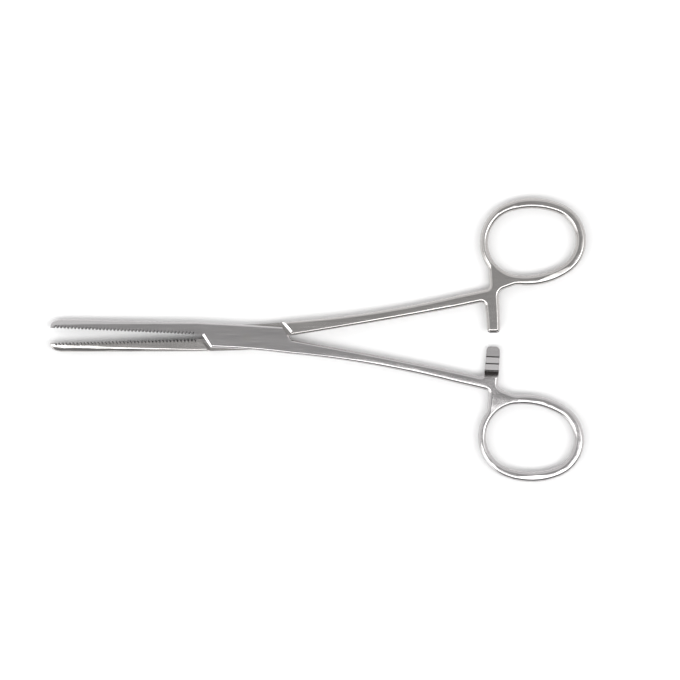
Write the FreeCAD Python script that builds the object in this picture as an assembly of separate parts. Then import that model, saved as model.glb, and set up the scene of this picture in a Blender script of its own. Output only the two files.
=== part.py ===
import FreeCAD, Part
import math
import os

# Straight box-lock artery forceps, lying flat with the jaws a little open.
# +X runs from the pivot to the finger rings, +Y to the ring of the tongue half, +Z up.
# The origin is on the pivot axis at the underside of the box lock. Sizes are in mm and degrees.
# Each half is drawn in its shut place, then turned about the pivot by half the opening_angle.

# Opening as drawn, between the two jaws
opening_angle = 4.1

# Box lock
box_thick = 4.6
box_half_width = 3.65
box_corner_half_width = 3.5
box_end_distance = 10.5
box_end_angle = 37.0
box_end_bevel = 0.5
box_edge_round = 0.8
slot_height = 1.9
slot_clearance = 0.05
slot_wall_margin = 0.65
slot_wall_angle = 34.0
slot_wall_clearance = 0.15
shoulder_distance = 10.65
shoulder_angle = 39.0
shoulder_bevel = 0.7

# Rivet
pin_radius = 1.25
pin_clearance = 0.03

# Jaws, measured from the pivot and from the line where they meet
jaw_gap = 0.3
jaw_length = 58.1
jaw_root_distance = 15.0
jaw_root_width = 3.75
jaw_tip_width = 2.9
jaw_tip_thick = 2.9
jaw_round_width = 2.2
jaw_round_height = 1.35
nose_length = 4.2
# Shares of the jaw's width, thickness and rounding that are left at the end of its nose
nose_end_width = 0.3
nose_end_thick = 0.75
nose_end_round = 0.32

# Teeth of the jaws
tooth_pitch = 1.05
tooth_depth = 0.5
tooth_land_width = 0.12
tooth_start_distance = 15.2

# Shanks, along an arc that leaves the box
shank_start_x = 12.9
shank_start_y = 2.26
shank_length = 49.4
shank_lean_angle = 5.0
shank_bend_angle = 5.4
shank_box_width = 4.1
shank_waist_width = 3.05
shank_ring_width = 3.55

# Finger rings: back of the inside, behind the bar and out from the shank, oval of four arcs, and band
ring_behind_distance = 0.35
ring_outward_distance = 16.29
ring_tilt_angle = 3.7
ring_spacing = 7.75
ring_front_radius = 8.65
ring_back_radius = 9.65
ring_side_radius = 21.8
ring_band_front = 2.95
ring_band_side = 2.95
ring_band_back = 2.3
ring_thick = 3.5
ring_round = 1.25

# Ratchet bars, on an arc about the pivot
bar_forward_distance = 10.2
bar_width = 3.9
bar_flare_width = 0.8
bar_tip_length = 0.55
bar_tip_radius = 1.15
bar_face_gap = 0.08
bar_tooth_start = 2.84
bar_tooth_pitch = 2.03
bar_tooth_depth = 0.55
bar_tooth_step = 0.3
bar_tooth_count = 3
bar_root_distance = 7.3
bar_ramp_length = 1.9
bar_inside_radius = 1.2
bar_outside_radius = 2.0
web_shank_radius = 1.0

# Flat between shank, bar and ring: its reach into the bar, and its ends seen from the ring's centre
web_reach = 1.65
web_rise = 0.3
web_width = 1.6
web_left_angle = 201.0
web_right_angle = 256.5
web_ring_radius = 4.0

# Derived sizes
mid_z = box_thick / 2
tongue_thick = slot_height - 2 * slot_clearance
meet = jaw_gap / 2
slot_wall_distance = box_half_width + slot_wall_margin
tongue_distance = slot_wall_distance - slot_wall_clearance
straight_enough = 0.0001
same_height = 0.0001


def polar(reach, angle):
    turn = math.radians(angle)
    return FreeCAD.Vector(reach * math.cos(turn), reach * math.sin(turn), 0)


def line_meet(reach, angle, y):
    """Point at height y on the line whose normal has this reach and angle."""
    turn = math.radians(angle)
    return FreeCAD.Vector((reach - y * math.sin(turn)) / math.cos(turn), y, 0)


def prism(points, low, high):
    """Upright solid on a plan outline of straight sides."""
    outline = [FreeCAD.Vector(p.x, p.y, low) for p in points]
    face = Part.Face(Part.makePolygon(outline + outline[:1]))
    return face.extrude(FreeCAD.Vector(0, 0, high - low))


def arc_into(start, stop, direction):
    """Arc between two points that arrives in a given direction, or a line if that is straight."""
    chord = stop - start
    turn = math.atan2(chord.cross(direction).z, chord.dot(direction))
    if abs(turn) < straight_enough:
        return Part.makeLine(start, stop)
    right = FreeCAD.Vector(chord.y, -chord.x, 0) * 0.5
    middle = (start + stop) * 0.5 + right * math.tan(turn / 2)
    return Part.Arc(start, middle, stop).toShape()


def flat_sizes(rounding):
    """Sizes of the wide chamfer and of the two narrow ones beside it that follow a rounding."""
    wide = rounding * (2 - math.sqrt(2))
    narrow = rounding * (math.sqrt(2) - 1 - math.tan(math.pi / 16))
    return wide, narrow


def eased_wire(corners, rounds):
    """Closed outline of right-angled corners, each eased by three flats.

    A corner's rounding is its size along the side before it and along the side after it.
    """
    wide, narrow = flat_sizes(1)
    lean = narrow / math.sqrt(2)
    shares = [(wide + narrow, 0), (wide - lean, lean), (lean, wide - lean), (0, wide + narrow)]
    points = []
    for i in range(len(corners)):
        here = corners[i]
        if rounds[i] is None:
            points.append(here)
            continue
        back = (corners[i - 1] - here).normalize() * rounds[i][0]
        on = (corners[(i + 1) % len(corners)] - here).normalize() * rounds[i][1]
        points += [here + back * before + on * after for before, after in shares]
    return Part.makePolygon(points + points[:1])


def eased(solid, rounding, chosen):
    """Solid whose level outside edges are eased by three flats, as its sections are.

    Chosen tells whether an edge that lies at a height takes part.
    """
    wide, narrow = flat_sizes(rounding)
    top = solid.BoundBox.ZMax
    bottom = solid.BoundBox.ZMin
    solid = solid.makeChamfer(wide, edges_at(solid, [bottom, top], chosen))
    heights = [bottom, bottom + wide, top - wide, top]
    return solid.makeChamfer(narrow, edges_at(solid, heights, chosen))


def edges_at(solid, heights, chosen):
    """Edges that lie level at one of some heights."""
    found = []
    for edge in solid.Edges:
        box = edge.BoundBox
        for height in heights:
            if abs(box.ZMin - height) < same_height and abs(box.ZMax - height) < same_height:
                if chosen(edge):
                    found.append(edge)
                break
    return found


def jaw_section(x, side, thick, round_width, round_height):
    """Jaw across its length: flat where it meets the other jaw, rounded on its far side."""
    low = mid_z - thick / 2
    high = mid_z + thick / 2
    corners = [
        FreeCAD.Vector(x, -meet, low),
        FreeCAD.Vector(x, -meet, high),
        FreeCAD.Vector(x, -side, high),
        FreeCAD.Vector(x, -side, low),
    ]
    rounds = [None, None, (round_width, round_height), (round_height, round_width)]
    return eased_wire(corners, rounds)


def jaw_body():
    """Jaw from the box to where its nose begins, tapering in both views."""
    sections = []
    stations = 9
    long = jaw_length - nose_length - jaw_root_distance
    for i in range(stations):
        along = i / (stations - 1)
        ease = along * along * (3 - 2 * along)
        side = jaw_root_width + (jaw_tip_width - jaw_root_width) * along
        thick = box_thick + (jaw_tip_thick - box_thick) * ease
        round_width = box_edge_round + (jaw_round_width - box_edge_round) * along
        round_height = box_edge_round + (jaw_round_height - box_edge_round) * along
        x = -jaw_root_distance - long * along
        sections.append(jaw_section(x, side, thick, round_width, round_height))
    return Part.makeLoft(sections, True, True)


def jaw_nose():
    """End of the jaw, closing in a quarter of an ellipse."""
    sections = []
    stations = 7
    full = jaw_tip_width - meet
    for i in range(stations):
        turn = math.pi / 2 * i / (stations - 1)
        x = -(jaw_length - nose_length + nose_length * math.sin(turn))
        side = meet + full * nose_share(turn, nose_end_width)
        thick = jaw_tip_thick * nose_share(turn, nose_end_thick)
        shrink = nose_share(turn, nose_end_round)
        sections.append(jaw_section(x, side, thick, jaw_round_width * shrink, jaw_round_height * shrink))
    return Part.makeLoft(sections, True, True)


def nose_share(turn, end):
    """Share of a full size that the nose has left, falling as a quarter circle to its end."""
    return end + (1 - end) * math.cos(turn)


def shank_station(along):
    """Middle of the shank and its direction, at a share of its length."""
    lean = math.radians(shank_lean_angle)
    bend = math.radians(shank_bend_angle)
    radius = shank_length / bend
    turn = lean + bend * along
    x = shank_start_x + radius * (math.sin(turn) - math.sin(lean))
    y = shank_start_y + radius * (math.cos(lean) - math.cos(turn))
    return FreeCAD.Vector(x, y, 0), math.degrees(turn)


def shank_width(along):
    """Width that thins to the waist and grows again toward the ring."""
    if along < 0.5:
        share = 1 - 2 * along
        return shank_waist_width + (shank_box_width - shank_waist_width) * share * share
    share = 2 * along - 1
    return shank_waist_width + (shank_ring_width - shank_waist_width) * share * share


def shank():
    """Shank from the box to the ring, crisp at first and rounded toward the ring."""
    sections = []
    stations = 13
    for i in range(stations):
        along = i / (stations - 1)
        ease = along * along * (3 - 2 * along)
        middle, heading = shank_station(along)
        across = polar(shank_width(along) / 2, heading + 90)
        thick = box_thick + (ring_thick - box_thick) * ease
        rounding = box_edge_round + (ring_round - box_edge_round) * ease
        low = FreeCAD.Vector(0, 0, mid_z - thick / 2)
        high = FreeCAD.Vector(0, 0, mid_z + thick / 2)
        corners = [middle - across + low, middle - across + high,
                   middle + across + high, middle + across + low]
        sections.append(eased_wire(corners, [(rounding, rounding)] * 4))
    return Part.makeLoft(sections, True, True)


def core_blank(left_run, right_run):
    """Middle of a half between jaw and shank, drawn for the half whose jaw lies below.

    Each run is the list of edges that closes one end: the left run from the long top edge down to
    the jaw's meeting face, the right run from the long bottom edge up to the inside of the shank.
    """
    middle, heading = shank_station(0)
    across = polar(shank_box_width / 2, heading + 90)
    outer = middle + across
    inner = middle - across
    top_left = left_run[0].firstVertex().Point
    bottom_right = right_run[0].firstVertex().Point
    left_end = left_run[-1].lastVertex().Point
    right_end = right_run[-1].lastVertex().Point
    jaw_inner = FreeCAD.Vector(-jaw_root_distance, -meet, 0)
    jaw_outer = FreeCAD.Vector(-jaw_root_distance, -jaw_root_width, 0)
    edges = [arc_into(top_left, outer, polar(1, heading))]
    edges.append(arc_into(bottom_right, jaw_outer, FreeCAD.Vector(-1, 0, 0)))
    edges += left_run
    edges += right_run
    edges += [Part.makeLine(left_end, jaw_inner), Part.makeLine(jaw_inner, jaw_outer)]
    edges.append(Part.makeLine(inner, outer))
    if right_end.distanceToPoint(inner) > 0.001:
        edges.append(Part.makeLine(right_end, inner))
    face = Part.Face(Part.Wire(Part.sortEdges(edges)[0]))
    solid = face.extrude(FreeCAD.Vector(0, 0, box_thick))
    return eased(solid, box_edge_round, runs_along)


def runs_along(edge):
    """Whether an edge of a core is one of its long outside edges."""
    return edge.Length > 3 * box_half_width and abs(edge.CenterOfMass.y) > box_half_width / 2


def shank_inner_start():
    middle, heading = shank_station(0)
    return middle - polar(shank_box_width / 2, heading + 90)


def box_core():
    """Core of the box half: each end slopes across the whole width."""
    corner = line_meet(box_end_distance, -box_end_angle, -box_corner_half_width)
    jaw_corner = -line_meet(box_end_distance, -box_end_angle, meet)
    left_run = [Part.makeLine(-corner, jaw_corner)]
    right_run = [Part.makeLine(corner, shank_inner_start())]
    return core_blank(left_run, right_run)


def tongue_core():
    """Core of the tongue half: a waist that is round about the pivot, with a neck at each end."""
    waist_x = math.sqrt(tongue_distance ** 2 - jaw_root_width ** 2)
    shoulder = FreeCAD.Vector(waist_x, -jaw_root_width, 0)
    touch = polar(tongue_distance, -slot_wall_angle)
    corner_angle = math.degrees(math.atan2(shoulder.y, shoulder.x))
    between = polar(tongue_distance, (corner_angle - slot_wall_angle) / 2)
    neck = line_meet(tongue_distance, -slot_wall_angle, meet)
    right_run = [Part.Arc(shoulder, between, touch).toShape(), Part.makeLine(touch, neck)]
    left_run = [Part.Arc(-shoulder, -between, -touch).toShape(), Part.makeLine(-touch, -neck)]
    return core_blank(left_run, right_run)


def strip(reach, angle, low, high):
    """Band of plan area within a reach of the pivot, both ways along a direction."""
    side = 2 * jaw_root_distance
    along = polar(reach, angle)
    across = polar(side, angle + 90)
    return prism([along - across, along + across, -along + across, -along - across], low, high)


def bevel_cutter(start, stop, inward, size, level, down):
    """Three-sided bar that takes a bevel off a straight edge at a level.

    Inward points from the edge into the metal in plan, down is -1 for an upper edge and 1 for a lower.
    """
    edge = FreeCAD.Vector(start.x, start.y, level)
    depth = FreeCAD.Vector(0, 0, down * size)
    side = inward * size
    corners = [edge + side * 2 - depth, edge - side + depth * 2, edge - side - depth]
    face = Part.Face(Part.makePolygon(corners + corners[:1]))
    return face.extrude(stop - start)


def bevels(start, stop, inward, size):
    """Cutters for an edge on both faces, and for its twin across the pivot."""
    cutters = []
    for level, down in ((box_thick, -1), (0, 1)):
        cutters.append(bevel_cutter(start, stop, inward, size, level, down))
        cutters.append(bevel_cutter(-start, -stop, -inward, size, level, down))
    return cutters


def oval_wire(centre, spacing, front, back, side):
    """Oval of four tangent arcs: one round each end centre and one along each side."""
    ahead = polar(1, ring_tilt_angle)
    left = polar(1, ring_tilt_angle + 90)
    front_centre = centre + ahead * (spacing / 2)
    back_centre = centre - ahead * (spacing / 2)
    shift = ((side - back) ** 2 - (side - front) ** 2) / (2 * spacing)
    depth = math.sqrt((side - front) ** 2 - (shift - spacing / 2) ** 2)
    edges = []
    for flank in (left, -left):
        side_centre = centre + ahead * shift - flank * depth
        start = side_centre + (front_centre - side_centre).normalize() * side
        stop = side_centre + (back_centre - side_centre).normalize() * side
        edges.append(Part.Arc(start, side_centre + flank * side, stop).toShape())
    front_ends = [edge.firstVertex().Point for edge in edges]
    back_ends = [edge.lastVertex().Point for edge in edges]
    edges.append(Part.Arc(front_ends[0], front_centre + ahead * front, front_ends[1]).toShape())
    edges.append(Part.Arc(back_ends[0], back_centre - ahead * back, back_ends[1]).toShape())
    return Part.Wire(Part.sortEdges(edges)[0])


def rim_point(angle):
    """Point of the ring's outside seen at an angle from its centre."""
    centre = ring_centre()
    ray = Part.makeLine(centre, centre + polar(shank_length, angle))
    return ring_outside().section(ray).Vertexes[0].Point


def ring_inside():
    return oval_wire(ring_centre(), ring_spacing, ring_front_radius, ring_back_radius, ring_side_radius)


def ring_outside():
    """Outer oval, with a band of its own width at the front, at the sides and at the back."""
    fuller = ring_band_front - ring_band_side
    thinner = ring_band_side - ring_band_back
    centre = ring_centre() + polar((fuller + thinner) / 2, ring_tilt_angle)
    spacing = ring_spacing + fuller - thinner
    front = ring_front_radius + ring_band_side
    back = ring_back_radius + ring_band_side
    return oval_wire(centre, spacing, front, back, ring_side_radius)


def ring_centre():
    """Middle of the ring's inside, which grows forward from its back."""
    end, heading = shank_station(1)
    forward = bar_forward_distance - ring_behind_distance
    back = end + FreeCAD.Vector(forward, ring_outward_distance, 0)
    return back + polar(ring_back_radius + ring_spacing / 2, ring_tilt_angle)


def bar_radius():
    end, heading = shank_station(1)
    return end.Length + bar_forward_distance


def bar_angle(y):
    return math.degrees(math.asin(y / bar_radius()))


def bar_face(top_y):
    """Plan of the ratchet bar, from its tip up into the ring."""
    inside = bar_radius() - bar_width / 2
    outside = bar_radius() + bar_width / 2
    low = bar_angle(-bar_tip_length)
    high = bar_angle(top_y)
    middle = (low + high) / 2
    root = polar(outside + bar_flare_width, high)
    waist = polar(outside + bar_flare_width / 3, middle)
    edges = [
        Part.Arc(polar(inside, low), polar(inside, middle), polar(inside, high)).toShape(),
        Part.makeLine(polar(inside, high), root),
        Part.Arc(root, waist, polar(outside, low)).toShape(),
        Part.makeLine(polar(outside, low), polar(inside, low)),
    ]
    return Part.Face(Part.Wire(edges))


def stub_face():
    """Plan of the short straight piece that joins the shank to the ring and the bar."""
    end, heading = shank_station(1)
    across = polar(shank_ring_width / 2, heading + 90)
    forward = polar(bar_forward_distance + web_width / 2, heading)
    corners = [end - across, end - across + forward, end + across + forward, end + across]
    return Part.Face(Part.makePolygon(corners + corners[:1]))


def web_foot():
    """Point of the flat between shank, bar and ring that lies deepest in the bar."""
    end, heading = shank_station(1)
    return end + polar(bar_forward_distance + web_reach, heading) + polar(web_rise, heading + 90)


def web_face():
    """Plan of the flat between shank, bar and ring."""
    heading = shank_station(1)[1]
    half_band = ring_band_back / 2
    corners = [
        rim_point(web_left_angle) - polar(half_band, web_left_angle),
        web_foot() - polar(web_width, heading),
        web_foot(),
        rim_point(web_right_angle) - polar(half_band, web_right_angle),
    ]
    return Part.Face(Part.makePolygon(corners + corners[:1]))


def raised(face):
    """Plan area of the head made a plate as thick as the ring."""
    plate = face.extrude(FreeCAD.Vector(0, 0, ring_thick))
    plate.translate(FreeCAD.Vector(0, 0, mid_z - ring_thick / 2))
    return plate


def upright_edge(solid, spot):
    """Upright edge of a plate that stands at a place in plan."""
    tall = [edge for edge in solid.Edges if edge.BoundBox.ZLength > ring_thick / 2]
    return min(tall, key=lambda edge: edge.CenterOfMass.distanceToLine(spot, FreeCAD.Vector(0, 0, 1)))


def crossing(first, second, spot):
    """Point where the outlines of two plan areas cross, the one nearest to a spot."""
    points = [vertex.Point for vertex in first.OuterWire.section(second.OuterWire).Vertexes]
    return min(points, key=spot.distanceToPoint)


def head_plate():
    """Ring, flat and full-thickness bar in one piece, with its plan corners rounded."""
    end, heading = shank_station(1)
    stub = stub_face()
    web = web_face()
    bar = bar_face(end.y + bar_forward_distance / 3)
    rim = Part.Face(ring_outside())
    head = raised(rim).fuse([raised(stub), raised(web), raised(bar)])
    head = head.cut(raised(Part.Face(ring_inside()))).removeSplitter()
    inside = end + polar(bar_forward_distance, heading) - polar(shank_ring_width / 2, heading + 90)
    inner_x = bar_radius() - bar_width / 2
    outer_x = bar_radius() + bar_width / 2
    corners = [
        (web_shank_radius, crossing(web, stub, web_foot() - polar(web_width, heading))),
        (bar_inside_radius, crossing(stub, bar, inside)),
        (bar_outside_radius, crossing(web, bar, web_foot())),
        (web_ring_radius, crossing(web, rim, rim_point(web_left_angle))),
        (web_ring_radius, crossing(web, rim, rim_point(web_right_angle))),
        (bar_tip_radius, FreeCAD.Vector(inner_x, -bar_tip_length, 0)),
        (bar_tip_radius, FreeCAD.Vector(outer_x, -bar_tip_length, 0)),
    ]
    for radius, spot in corners:
        head = head.makeFillet(radius, [upright_edge(head, spot)])
    return head


def past_shank(edge):
    """Whether an edge of a head lies clear of the face where the shank joins it."""
    end, heading = shank_station(1)
    return (edge.CenterOfMass - end).dot(polar(1, heading)) > same_height


def head_solid():
    """Head with its upper and lower edges eased."""
    return eased(head_plate(), ring_round, past_shank)


def bar_cutter():
    """What is taken off the toothed face of the bar: half its thickness, then sloping teeth.

    The profile runs in height and length from the tip, and is drawn across the bar.
    """
    tip_y = -bar_tip_length
    crest = mid_z + bar_face_gap
    valley = crest + bar_tooth_depth
    under = mid_z - ring_thick
    profile = [(tip_y - bar_width, under), (tip_y - bar_width, valley), (tip_y, valley)]
    y = tip_y + bar_tooth_start
    for i in range(bar_tooth_count):
        profile.append((y, crest))
        profile.append((y + bar_tooth_step, valley))
        y += bar_tooth_pitch
    root_y = tip_y + bar_root_distance
    profile.append((root_y, valley))
    profile.append((root_y + bar_ramp_length, mid_z - ring_thick / 2))
    profile.append((root_y + bar_ramp_length, under))
    start = bar_radius() - 1.5 * bar_width
    points = [FreeCAD.Vector(start, y, z) for y, z in profile]
    face = Part.Face(Part.makePolygon(points + points[:1]))
    return face.extrude(FreeCAD.Vector(3 * bar_width, 0, 0))


def tooth_cutter(shift):
    """Row of vee grooves across the meeting face of a jaw."""
    points = [FreeCAD.Vector(-jaw_length - tooth_pitch, meet, 0)]
    count = int((jaw_length - tooth_start_distance) / tooth_pitch)
    for i in range(count):
        x = -tooth_start_distance - tooth_pitch * (count - 1 - i + shift)
        half = (tooth_pitch - tooth_land_width) / 2
        points.append(FreeCAD.Vector(x - half, -meet, 0))
        points.append(FreeCAD.Vector(x, -meet - tooth_depth, 0))
        points.append(FreeCAD.Vector(x + half, -meet, 0))
    points.append(FreeCAD.Vector(-tooth_start_distance, meet, 0))
    return prism(points, -box_thick, 2 * box_thick)


def half_solid(core, tooth_shift):
    """One half in its shut place, drawn as the half whose jaw lies below and ring above."""
    jaw = jaw_body().fuse(jaw_nose()).cut(tooth_cutter(tooth_shift))
    head = head_solid().cut(bar_cutter())
    return core.fuse([jaw, shank(), head]).removeSplitter()


def pin_hole(radius):
    hole = Part.makeCylinder(radius, 3 * box_thick)
    hole.translate(FreeCAD.Vector(0, 0, -box_thick))
    return hole


def slot_cutter():
    """Space for the tongue between the two plates of the box, in the box half's own place."""
    low = mid_z - slot_height / 2
    high = mid_z + slot_height / 2
    wall_angle = 180 - slot_wall_angle
    out = 2 * box_half_width
    wall_low = line_meet(slot_wall_distance, wall_angle, meet)
    wall_high = line_meet(slot_wall_distance, wall_angle, out)
    left_low = FreeCAD.Vector(-2 * jaw_root_distance, meet, 0)
    left_out = FreeCAD.Vector(-2 * jaw_root_distance, -out, 0)
    points = [left_low, wall_low, wall_high, -left_out, -left_low, -wall_low, -wall_high, left_out]
    return prism(points, low, high)


def box_half():
    """Half with the slotted box: two plates round the tongue, jaw above and ring below."""
    core = box_core()
    corner = line_meet(box_end_distance, -box_end_angle, -box_corner_half_width)
    inner = shank_inner_start()
    start = corner + (corner - inner).normalize() * box_end_bevel
    core = core.cut(bevels(start, inner, polar(-1, -box_end_angle), box_end_bevel))
    half = half_solid(core, 0.5)
    half.rotate(FreeCAD.Vector(0, 0, mid_z), FreeCAD.Vector(1, 0, 0), 180)
    half = half.cut(slot_cutter()).cut(pin_hole(pin_radius))
    half.rotate(FreeCAD.Vector(0, 0, 0), FreeCAD.Vector(0, 0, 1), -opening_angle / 2)
    return half


def tongue_half():
    """Half that passes through the box: a thin tongue between two full shoulders."""
    half = half_solid(tongue_core(), 0)
    tongue_low = mid_z - tongue_thick / 2
    tongue_high = mid_z + tongue_thick / 2
    below = strip(shoulder_distance, shoulder_angle, -box_thick, tongue_low)
    above = strip(shoulder_distance, shoulder_angle, tongue_high, 2 * box_thick)
    wall = polar(shoulder_distance, shoulder_angle)
    across = polar(2 * box_half_width, shoulder_angle + 90)
    cutters = bevels(wall - across, wall + across, polar(1, shoulder_angle), shoulder_bevel)
    half = half.cut([below, above, pin_hole(pin_radius + pin_clearance)] + cutters)
    half.rotate(FreeCAD.Vector(0, 0, 0), FreeCAD.Vector(0, 0, 1), opening_angle / 2)
    return half


def pivot_pin():
    """Rivet through the box, finished flush with both plates."""
    return Part.makeCylinder(pin_radius, box_thick)


def single(shape):
    """The one solid of a finished piece."""
    return shape.Solids[0] if len(shape.Solids) == 1 else shape


os.makedirs("parts", exist_ok=True)
single(box_half()).exportStep("parts/box_half.step")
single(tongue_half()).exportStep("parts/tongue_half.step")
pivot_pin().exportStep("parts/pivot_pin.step")
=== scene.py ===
import math

import bmesh
import bpy
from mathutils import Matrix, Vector


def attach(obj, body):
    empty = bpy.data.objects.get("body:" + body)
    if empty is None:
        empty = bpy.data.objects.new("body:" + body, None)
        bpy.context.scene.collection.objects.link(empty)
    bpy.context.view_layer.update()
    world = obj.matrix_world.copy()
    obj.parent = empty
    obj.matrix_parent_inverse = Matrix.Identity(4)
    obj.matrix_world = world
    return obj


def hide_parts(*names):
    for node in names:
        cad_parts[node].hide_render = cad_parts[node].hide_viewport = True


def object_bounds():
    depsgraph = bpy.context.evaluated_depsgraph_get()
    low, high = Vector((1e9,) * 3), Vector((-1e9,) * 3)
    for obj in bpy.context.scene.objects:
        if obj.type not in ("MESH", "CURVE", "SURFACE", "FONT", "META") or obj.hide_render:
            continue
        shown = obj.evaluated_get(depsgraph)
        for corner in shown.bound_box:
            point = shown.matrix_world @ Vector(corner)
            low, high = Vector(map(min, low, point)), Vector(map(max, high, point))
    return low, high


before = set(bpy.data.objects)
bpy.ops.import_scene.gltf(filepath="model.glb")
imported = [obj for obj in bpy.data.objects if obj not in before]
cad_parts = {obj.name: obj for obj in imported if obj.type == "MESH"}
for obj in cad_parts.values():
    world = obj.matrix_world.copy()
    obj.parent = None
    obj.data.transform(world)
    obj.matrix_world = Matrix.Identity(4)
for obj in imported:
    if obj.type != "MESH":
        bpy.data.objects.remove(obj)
cad_low, cad_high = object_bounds()

# Lengths are in metres and angles in degrees, but the lens and its sensor are in mm, as Blender takes them.

# The photograph: its width, its scale, the pivot's place in it and how far it is turned.
PIXELS_WIDE = 680
METRES_PER_PIXEL = 0.001 / 3.3875
PIVOT_PIXEL = (247.35, 337.3)
PHOTO_ROLL = 0.55
LENS = 150.0
SENSOR = 36.0

# The paper that the forceps lie on.
PAPER_HALF = 2.0
PAPER_DROP = 0.00002

# How bright the studio is in each direction, where 1 is white paper. With a direction as a unit vector, the
# room is dim up to FRONT_WALL_FROM along y, white from 0 on, and turns to ceiling from CEILING_FROM along z.
CEILING = 0.42
WALL_BEHIND = 1.06
WALL_IN_FRONT = 0.30
FRONT_WALL_FROM = -0.50
CEILING_FROM = 0.84

# Soft bright patches of the studio: direction, closeness to it at the edge and at the core, and brightness.
WINDOW = ((-0.76, -0.60, 0.25), 0.90, 0.97, 2.0)
CARD = ((0.45, -0.05, 0.89), 0.96, 0.99, 1.2)

# The key lamp: lean from overhead, heading, reach, width, depth and watts.
LAMP_AIM = Vector((0.02, 0, 0))
LAMP_LEAN = 20
LAMP_HEADING = -84
LAMP_REACH = 1.0
LAMP_WIDTH = 2.0
LAMP_DEPTH = 0.42
LAMP_WATTS = 8.2

# Pattern steps per metre, along, across and through the forceps. Real brushing is some 0.02 mm wide, so it
# is drawn as lines 11 mm long and 0.4 mm wide, as coarse as it needs to show. The waves that hand polishing
# leaves are 17 mm long and 4 mm wide, and the cutter's marks 0.17 mm.
BRUSHING = (90, 2600, 2600)
BRUSHING_DEPTH = 0.00002
WAVES = (60, 260, 260)
WAVE_DEPTH = 0.00005
CUTTER_MARKS = 6000.0

# Where things lie along the forceps and out from their middle.
JAW_TEETH_FROM = -0.0578
JAW_TEETH_TO = -0.0150
BAR_TEETH_FROM = 0.066
BAR_TEETH_WITHIN = 0.010
BOX_REACH = 0.0142
RINGS_FROM = 0.0795

# How the faces that the shading treats by themselves are turned, as parts of their unit normals.
JAW_FLANK_UP_AT_MOST = 0.1
JAW_FLANK_ALONG_AT_LEAST = 0.4
BAR_FLANK_UP = (0.2, 0.55)
BAR_FLANK_ACROSS_AT_LEAST = 0.6
BEVEL_LEVEL = (0.69, 0.73)
BEVEL_ALONG = (0.74, 0.88)

# Edges that turn by more than the first angle stay sharp, and faces within the second are one flat. Corners
# closer than the last length are one point.
SHARP_ANGLE = 32
FLAT_ANGLE = 0.1
SAME_POINT = 0.0000005

# The lift of a bevel's normal, as a share of it, and the extra depth of the jaw grooves. A groove's two
# flanks are told by their normals, whose dot product is below the fold.
BEVEL_LIFT = 2.1
GROOVE_RUN_OUT = 0.00035
GROOVE_FOLD = 0.5


def linear(hex_colour):
    """A colour written as sRGB hex, as the linear values that the shaders take."""
    channels = [int(hex_colour[i:i + 2], 16) / 255 for i in (1, 3, 5)]
    return [c / 12.92 if c <= 0.04045 else ((c + 0.055) / 1.055) ** 2.4 for c in channels] + [1.0]


def node(tree, kind, inputs=None, **settings):
    """A new node with its settings, and its inputs given as values or as sockets to link."""
    made = tree.nodes.new(kind)
    for name, value in settings.items():
        setattr(made, name, value)
    for name, value in (inputs or {}).items():
        if isinstance(value, bpy.types.NodeSocket):
            tree.links.new(value, made.inputs[name])
        else:
            made.inputs[name].default_value = value
    return made


def new_material(name):
    """An empty node material and its tree."""
    material = bpy.data.materials.new(name)
    material.use_nodes = True
    material.node_tree.nodes.clear()
    return material, material.node_tree


# The stage

def photo_camera():
    """Camera straight above the forceps, framed as the photograph is."""
    roll = math.radians(PHOTO_ROLL)
    right = (PIXELS_WIDE / 2 - PIVOT_PIXEL[0]) * METRES_PER_PIXEL
    up = (PIVOT_PIXEL[1] - PIXELS_WIDE / 2) * METRES_PER_PIXEL
    distance = PIXELS_WIDE * METRES_PER_PIXEL * LENS / SENSOR
    data = bpy.data.cameras.new("photo_camera")
    data.lens = LENS
    data.sensor_width = SENSOR
    data.clip_start = 0.01
    data.clip_end = 10
    camera = bpy.data.objects.new("photo_camera", data)
    camera.location = (right * math.cos(roll) - up * math.sin(roll),
                       right * math.sin(roll) + up * math.cos(roll),
                       distance + cad_high.z / 2)
    camera.rotation_euler = (0, 0, roll)
    bpy.context.scene.collection.objects.link(camera)
    bpy.context.scene.camera = camera


def matt_white_paper():
    """Uncoated white paper: without a gloss, so all that it shows is the object's soft shadow."""
    material, tree = new_material("matt_white_paper")
    paper = node(tree, "ShaderNodeBsdfPrincipled", {
        "Base Color": linear("#fdfdfd"), "Roughness": 0.9, "Specular IOR Level": 0.2})
    node(tree, "ShaderNodeOutputMaterial", {"Surface": paper.outputs["BSDF"]})
    return material


def paper_floor():
    """Sheet of paper a hair below the forceps."""
    mesh = bpy.data.meshes.new("paper_floor")
    corners = [(-PAPER_HALF, -PAPER_HALF), (PAPER_HALF, -PAPER_HALF),
               (PAPER_HALF, PAPER_HALF), (-PAPER_HALF, PAPER_HALF)]
    mesh.from_pydata([(x, y, -PAPER_DROP) for x, y in corners], [], [(0, 1, 2, 3)])
    mesh.materials.append(matt_white_paper())
    paper = bpy.data.objects.new("paper_floor", mesh)
    bpy.context.scene.collection.objects.link(paper)


def key_lamp():
    """Long soft lamp in front of the forceps, which lights the paper and lays the shadow behind them."""
    data = bpy.data.lights.new("key_lamp", "AREA")
    data.shape = "RECTANGLE"
    data.size = LAMP_WIDTH
    data.size_y = LAMP_DEPTH
    data.energy = LAMP_WATTS
    lamp = bpy.data.objects.new("key_lamp", data)
    lean, heading = math.radians(LAMP_LEAN), math.radians(LAMP_HEADING)
    toward = Vector((math.sin(lean) * math.cos(heading), math.sin(lean) * math.sin(heading), math.cos(lean)))
    lamp.location = LAMP_AIM + LAMP_REACH * toward
    lamp.rotation_euler = toward.to_track_quat("Z", "Y").to_euler()
    bpy.context.scene.collection.objects.link(lamp)


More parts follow.
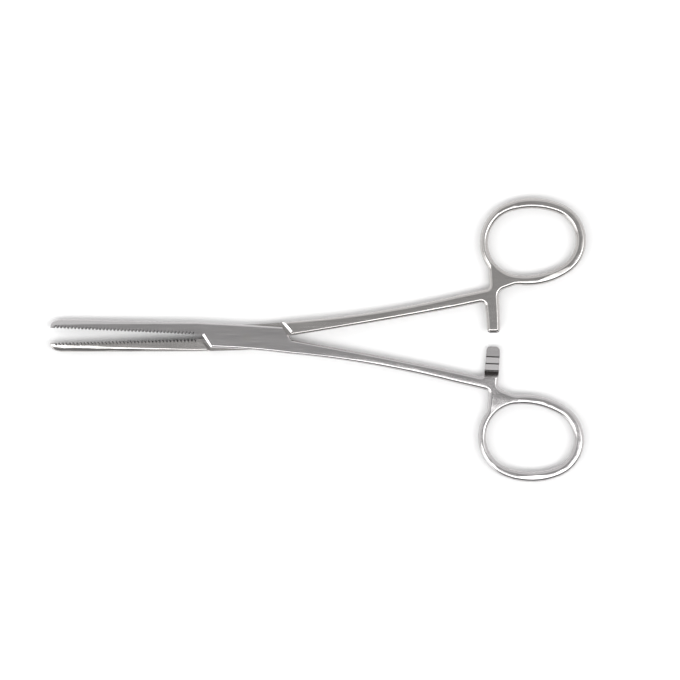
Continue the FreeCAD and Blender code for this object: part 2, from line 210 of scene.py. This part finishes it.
def soft_patch(tree, way, direction, edge, core, brightness):
    """Brightness that a soft-edged patch of the studio adds in its direction."""
    toward = node(tree, "ShaderNodeVectorMath", {0: way, 1: direction}, operation="DOT_PRODUCT")
    patch = node(tree, "ShaderNodeMapRange", {
        "Value": toward.outputs["Value"], "From Min": edge, "From Max": core, "To Max": brightness},
        interpolation_type="SMOOTHSTEP")
    return patch.outputs["Result"]


def studio():
    """White walls behind and at the sides, a greyer ceiling where the camera hangs, a dim room in front."""
    world = bpy.data.worlds.new("studio")
    world.use_nodes = True
    tree = world.node_tree
    tree.nodes.clear()
    way = node(tree, "ShaderNodeTexCoord").outputs["Generated"]
    parts = node(tree, "ShaderNodeSeparateXYZ", {"Vector": way})
    walls = node(tree, "ShaderNodeMapRange", {
        "Value": parts.outputs["Y"], "From Min": FRONT_WALL_FROM, "From Max": 0.0,
        "To Min": WALL_IN_FRONT, "To Max": WALL_BEHIND}, interpolation_type="SMOOTHSTEP")
    overhead = node(tree, "ShaderNodeMapRange", {
        "Value": parts.outputs["Z"], "From Min": CEILING_FROM}, interpolation_type="SMOOTHSTEP")
    room = node(tree, "ShaderNodeMapRange", {
        "Value": overhead.outputs["Result"], "To Min": walls.outputs["Result"], "To Max": CEILING})
    patches = node(tree, "ShaderNodeMath", {
        0: soft_patch(tree, way, *WINDOW), 1: soft_patch(tree, way, *CARD)}, operation="ADD")
    brightness = node(tree, "ShaderNodeMath", {
        0: room.outputs["Result"], 1: patches.outputs["Value"]}, operation="ADD")
    sky = node(tree, "ShaderNodeBackground", {"Strength": brightness.outputs["Value"]})
    node(tree, "ShaderNodeOutputWorld", {"Surface": sky.outputs["Background"]})
    bpy.context.scene.world = world
    key_lamp()


# The steel

def satin_steel(name, dark, light):
    """Stainless steel, polished by hand and satin brushed along the part.

    The waves that polishing leaves shade each flat softly from lighter to darker, and the brushing draws
    its reflections out into fine streaks.
    """
    material, tree = new_material(name)
    place = node(tree, "ShaderNodeTexCoord").outputs["Object"]
    along = node(tree, "ShaderNodeMapping", {"Vector": place, "Scale": BRUSHING})
    grain = node(tree, "ShaderNodeTexNoise", {
        "Vector": along.outputs["Vector"], "Scale": 1.0, "Detail": 4.0, "Roughness": 0.65})
    rough = node(tree, "ShaderNodeMapRange", {
        "Value": grain.outputs["Fac"], "To Min": 0.10, "To Max": 0.24})
    longer = node(tree, "ShaderNodeMapping", {"Vector": place, "Scale": WAVES})
    waves = node(tree, "ShaderNodeTexNoise", {
        "Vector": longer.outputs["Vector"], "Scale": 1.0, "Detail": 1.0})
    polish = node(tree, "ShaderNodeBump", {
        "Height": waves.outputs["Fac"], "Strength": 1.0, "Distance": WAVE_DEPTH})
    brushed = node(tree, "ShaderNodeBump", {
        "Height": grain.outputs["Fac"], "Strength": 0.12, "Distance": BRUSHING_DEPTH,
        "Normal": polish.outputs["Normal"]})
    tone = node(tree, "ShaderNodeMix", {
        "Factor": grain.outputs["Fac"], "A": linear(dark), "B": linear(light)}, data_type="RGBA")
    steel = node(tree, "ShaderNodeBsdfPrincipled", {
        "Base Color": tone.outputs["Result"], "Metallic": 1.0, "Roughness": rough.outputs["Result"],
        "Normal": brushed.outputs["Normal"]})
    node(tree, "ShaderNodeOutputMaterial", {"Surface": steel.outputs["BSDF"]})
    return material


def cut_steel_painted_shade():
    """Stainless steel left matte as cut between the teeth, with painted shade: its colour is darkened to
    stand for the shade in the grooves.
    """
    material, tree = new_material("cut_steel_painted_groove_shade")
    place = node(tree, "ShaderNodeTexCoord").outputs["Object"]
    marks = node(tree, "ShaderNodeTexNoise", {"Vector": place, "Scale": CUTTER_MARKS, "Detail": 2.0})
    # Painted shade: these two dark tones stand for the shade between the teeth; only the matte roughness is
    # the cut finish.
    tone = node(tree, "ShaderNodeMix", {
        "Factor": marks.outputs["Fac"], "A": linear("#2b2928"), "B": linear("#45423f")}, data_type="RGBA")
    steel = node(tree, "ShaderNodeBsdfPrincipled", {
        "Base Color": tone.outputs["Result"], "Metallic": 0.6, "Roughness": 0.65})
    node(tree, "ShaderNodeOutputMaterial", {"Surface": steel.outputs["BSDF"]})
    return material


# The forceps

def is_jaw_flank(face):
    """Whether a face is a flank of the jaw teeth, which is left as cut and gets painted groove shade."""
    upright = abs(face.normal.z) < JAW_FLANK_UP_AT_MOST
    slanting = abs(face.normal.x) > JAW_FLANK_ALONG_AT_LEAST
    return upright and slanting and JAW_TEETH_FROM < face.calc_center_median().x < JAW_TEETH_TO


def is_bar_flank(face):
    """Whether a face is a flank of the ratchet teeth, which is left as cut and gets painted groove shade."""
    spot = face.calc_center_median()
    on_bar = spot.x > BAR_TEETH_FROM and abs(spot.y) < BAR_TEETH_WITHIN
    slanting = BAR_FLANK_UP[0] < abs(face.normal.z) < BAR_FLANK_UP[1]
    return on_bar and slanting and abs(face.normal.y) > BAR_FLANK_ACROSS_AT_LEAST


def is_front_bevel(face):
    """Whether a face is one of the bevels at the ends of box and shoulders that slant to the front."""
    level = math.hypot(face.normal.x, face.normal.y)
    at_box = abs(face.calc_center_median().x) < BOX_REACH
    slanting = BEVEL_LEVEL[0] < level < BEVEL_LEVEL[1]
    return (at_box and slanting and face.normal.y < 0
            and BEVEL_ALONG[0] < abs(face.normal.x) / level < BEVEL_ALONG[1])


def deepen_grooves(work):
    """Carry the grooves between the jaw teeth a little deeper than the cutter's vee, as ground ones are."""
    moved = []
    for vert in work.verts:
        flanks = [face.normal for face in vert.link_faces if is_jaw_flank(face)]
        if len(flanks) > 1 and flanks[0].dot(flanks[-1]) < GROOVE_FOLD:
            moved.append((vert, sum(flanks, Vector()).normalized()))
    for vert, outward in moved:
        vert.co -= outward * GROOVE_RUN_OUT


def face_width(face):
    """How wide a long face is on average."""
    return 2 * face.calc_area() / face.calc_perimeter()


def rounded_normals(work):
    """Corner normals that carry narrow edge flats round smoothly and leave wide flats flat.

    The front bevels are lifted, because they are ground a little round and so catch the light from above.
    """
    turn = math.cos(math.radians(SHARP_ANGLE))
    weight = {face: face_width(face) ** 2 for face in work.faces}
    normals = []
    for face in work.faces:
        if is_front_bevel(face):
            lifted = face.normal + Vector((0, 0, math.copysign(BEVEL_LIFT, face.normal.z)))
            normals += [lifted.normalized()] * len(face.verts)
            continue
        for vert in face.verts:
            corner = Vector((0, 0, 0))
            for near in vert.link_faces:
                if near.normal.dot(face.normal) > turn:
                    corner += near.normal * weight[near]
            normals.append(corner.normalized())
    return normals


def whole_faces(name):
    """The part's shape from its CAD node, with loose triangles joined into whole faces."""
    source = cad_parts[name]
    work = bmesh.new()
    work.from_mesh(source.data)
    work.transform(source.matrix_world)
    bmesh.ops.remove_doubles(work, verts=work.verts, dist=SAME_POINT)
    bmesh.ops.dissolve_limit(work, angle_limit=math.radians(FLAT_ANGLE), verts=work.verts, edges=work.edges)
    deepen_grooves(work)
    bmesh.ops.bisect_plane(work, geom=work.verts[:] + work.edges[:] + work.faces[:],
                           plane_co=(RINGS_FROM, 0, 0), plane_no=(1, 0, 0))
    work.normal_update()
    work.verts.index_update()
    return work


def finish(name, body, polished, groove_shade_steel):
    """Put the finished piece in place of its CAD node, polished but for the flanks of its teeth, which get
    painted groove shade.
    """
    work = whole_faces(name)
    mesh = bpy.data.meshes.new(name + "_finished")
    mesh.from_pydata([vert.co.copy() for vert in work.verts], [],
                     [[vert.index for vert in face.verts] for face in work.faces])
    mesh.polygons.foreach_set("use_smooth", [True] * len(mesh.polygons))
    # Painted shade: the tooth flanks take the dark material that stands for the shade between the teeth.
    mesh.polygons.foreach_set("material_index",
                              [int(is_jaw_flank(face) or is_bar_flank(face)) for face in work.faces])
    mesh.normals_split_custom_set(rounded_normals(work))
    mesh.materials.append(polished)
    mesh.materials.append(groove_shade_steel)
    work.free()
    piece = bpy.data.objects.new(name + "_finished", mesh)
    bpy.context.scene.collection.objects.link(piece)
    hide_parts(name)
    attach(piece, body)


def forceps():
    """The two halves and the rivet that joins them."""
    # Painted shade for the tooth flanks: steel darkened to stand for the shade in the grooves.
    groove_shade_steel = cut_steel_painted_shade()
    box_steel = satin_steel("satin_steel_box_half", "#c2c0c2", "#d4d1d0")
    tongue_steel = satin_steel("satin_steel_tongue_half", "#bfbcbb", "#d2cfcc")
    pin_steel = satin_steel("satin_steel_pin", "#c0bebd", "#d2cfcd")
    finish("box_half", "box_side", box_steel, groove_shade_steel)
    finish("tongue_half", "tongue_side", tongue_steel, groove_shade_steel)
    finish("pivot_pin", "box_side", pin_steel, groove_shade_steel)


photo_camera()
paper_floor()
studio()
forceps()
bpy.context.scene.view_settings.view_transform = "Standard"
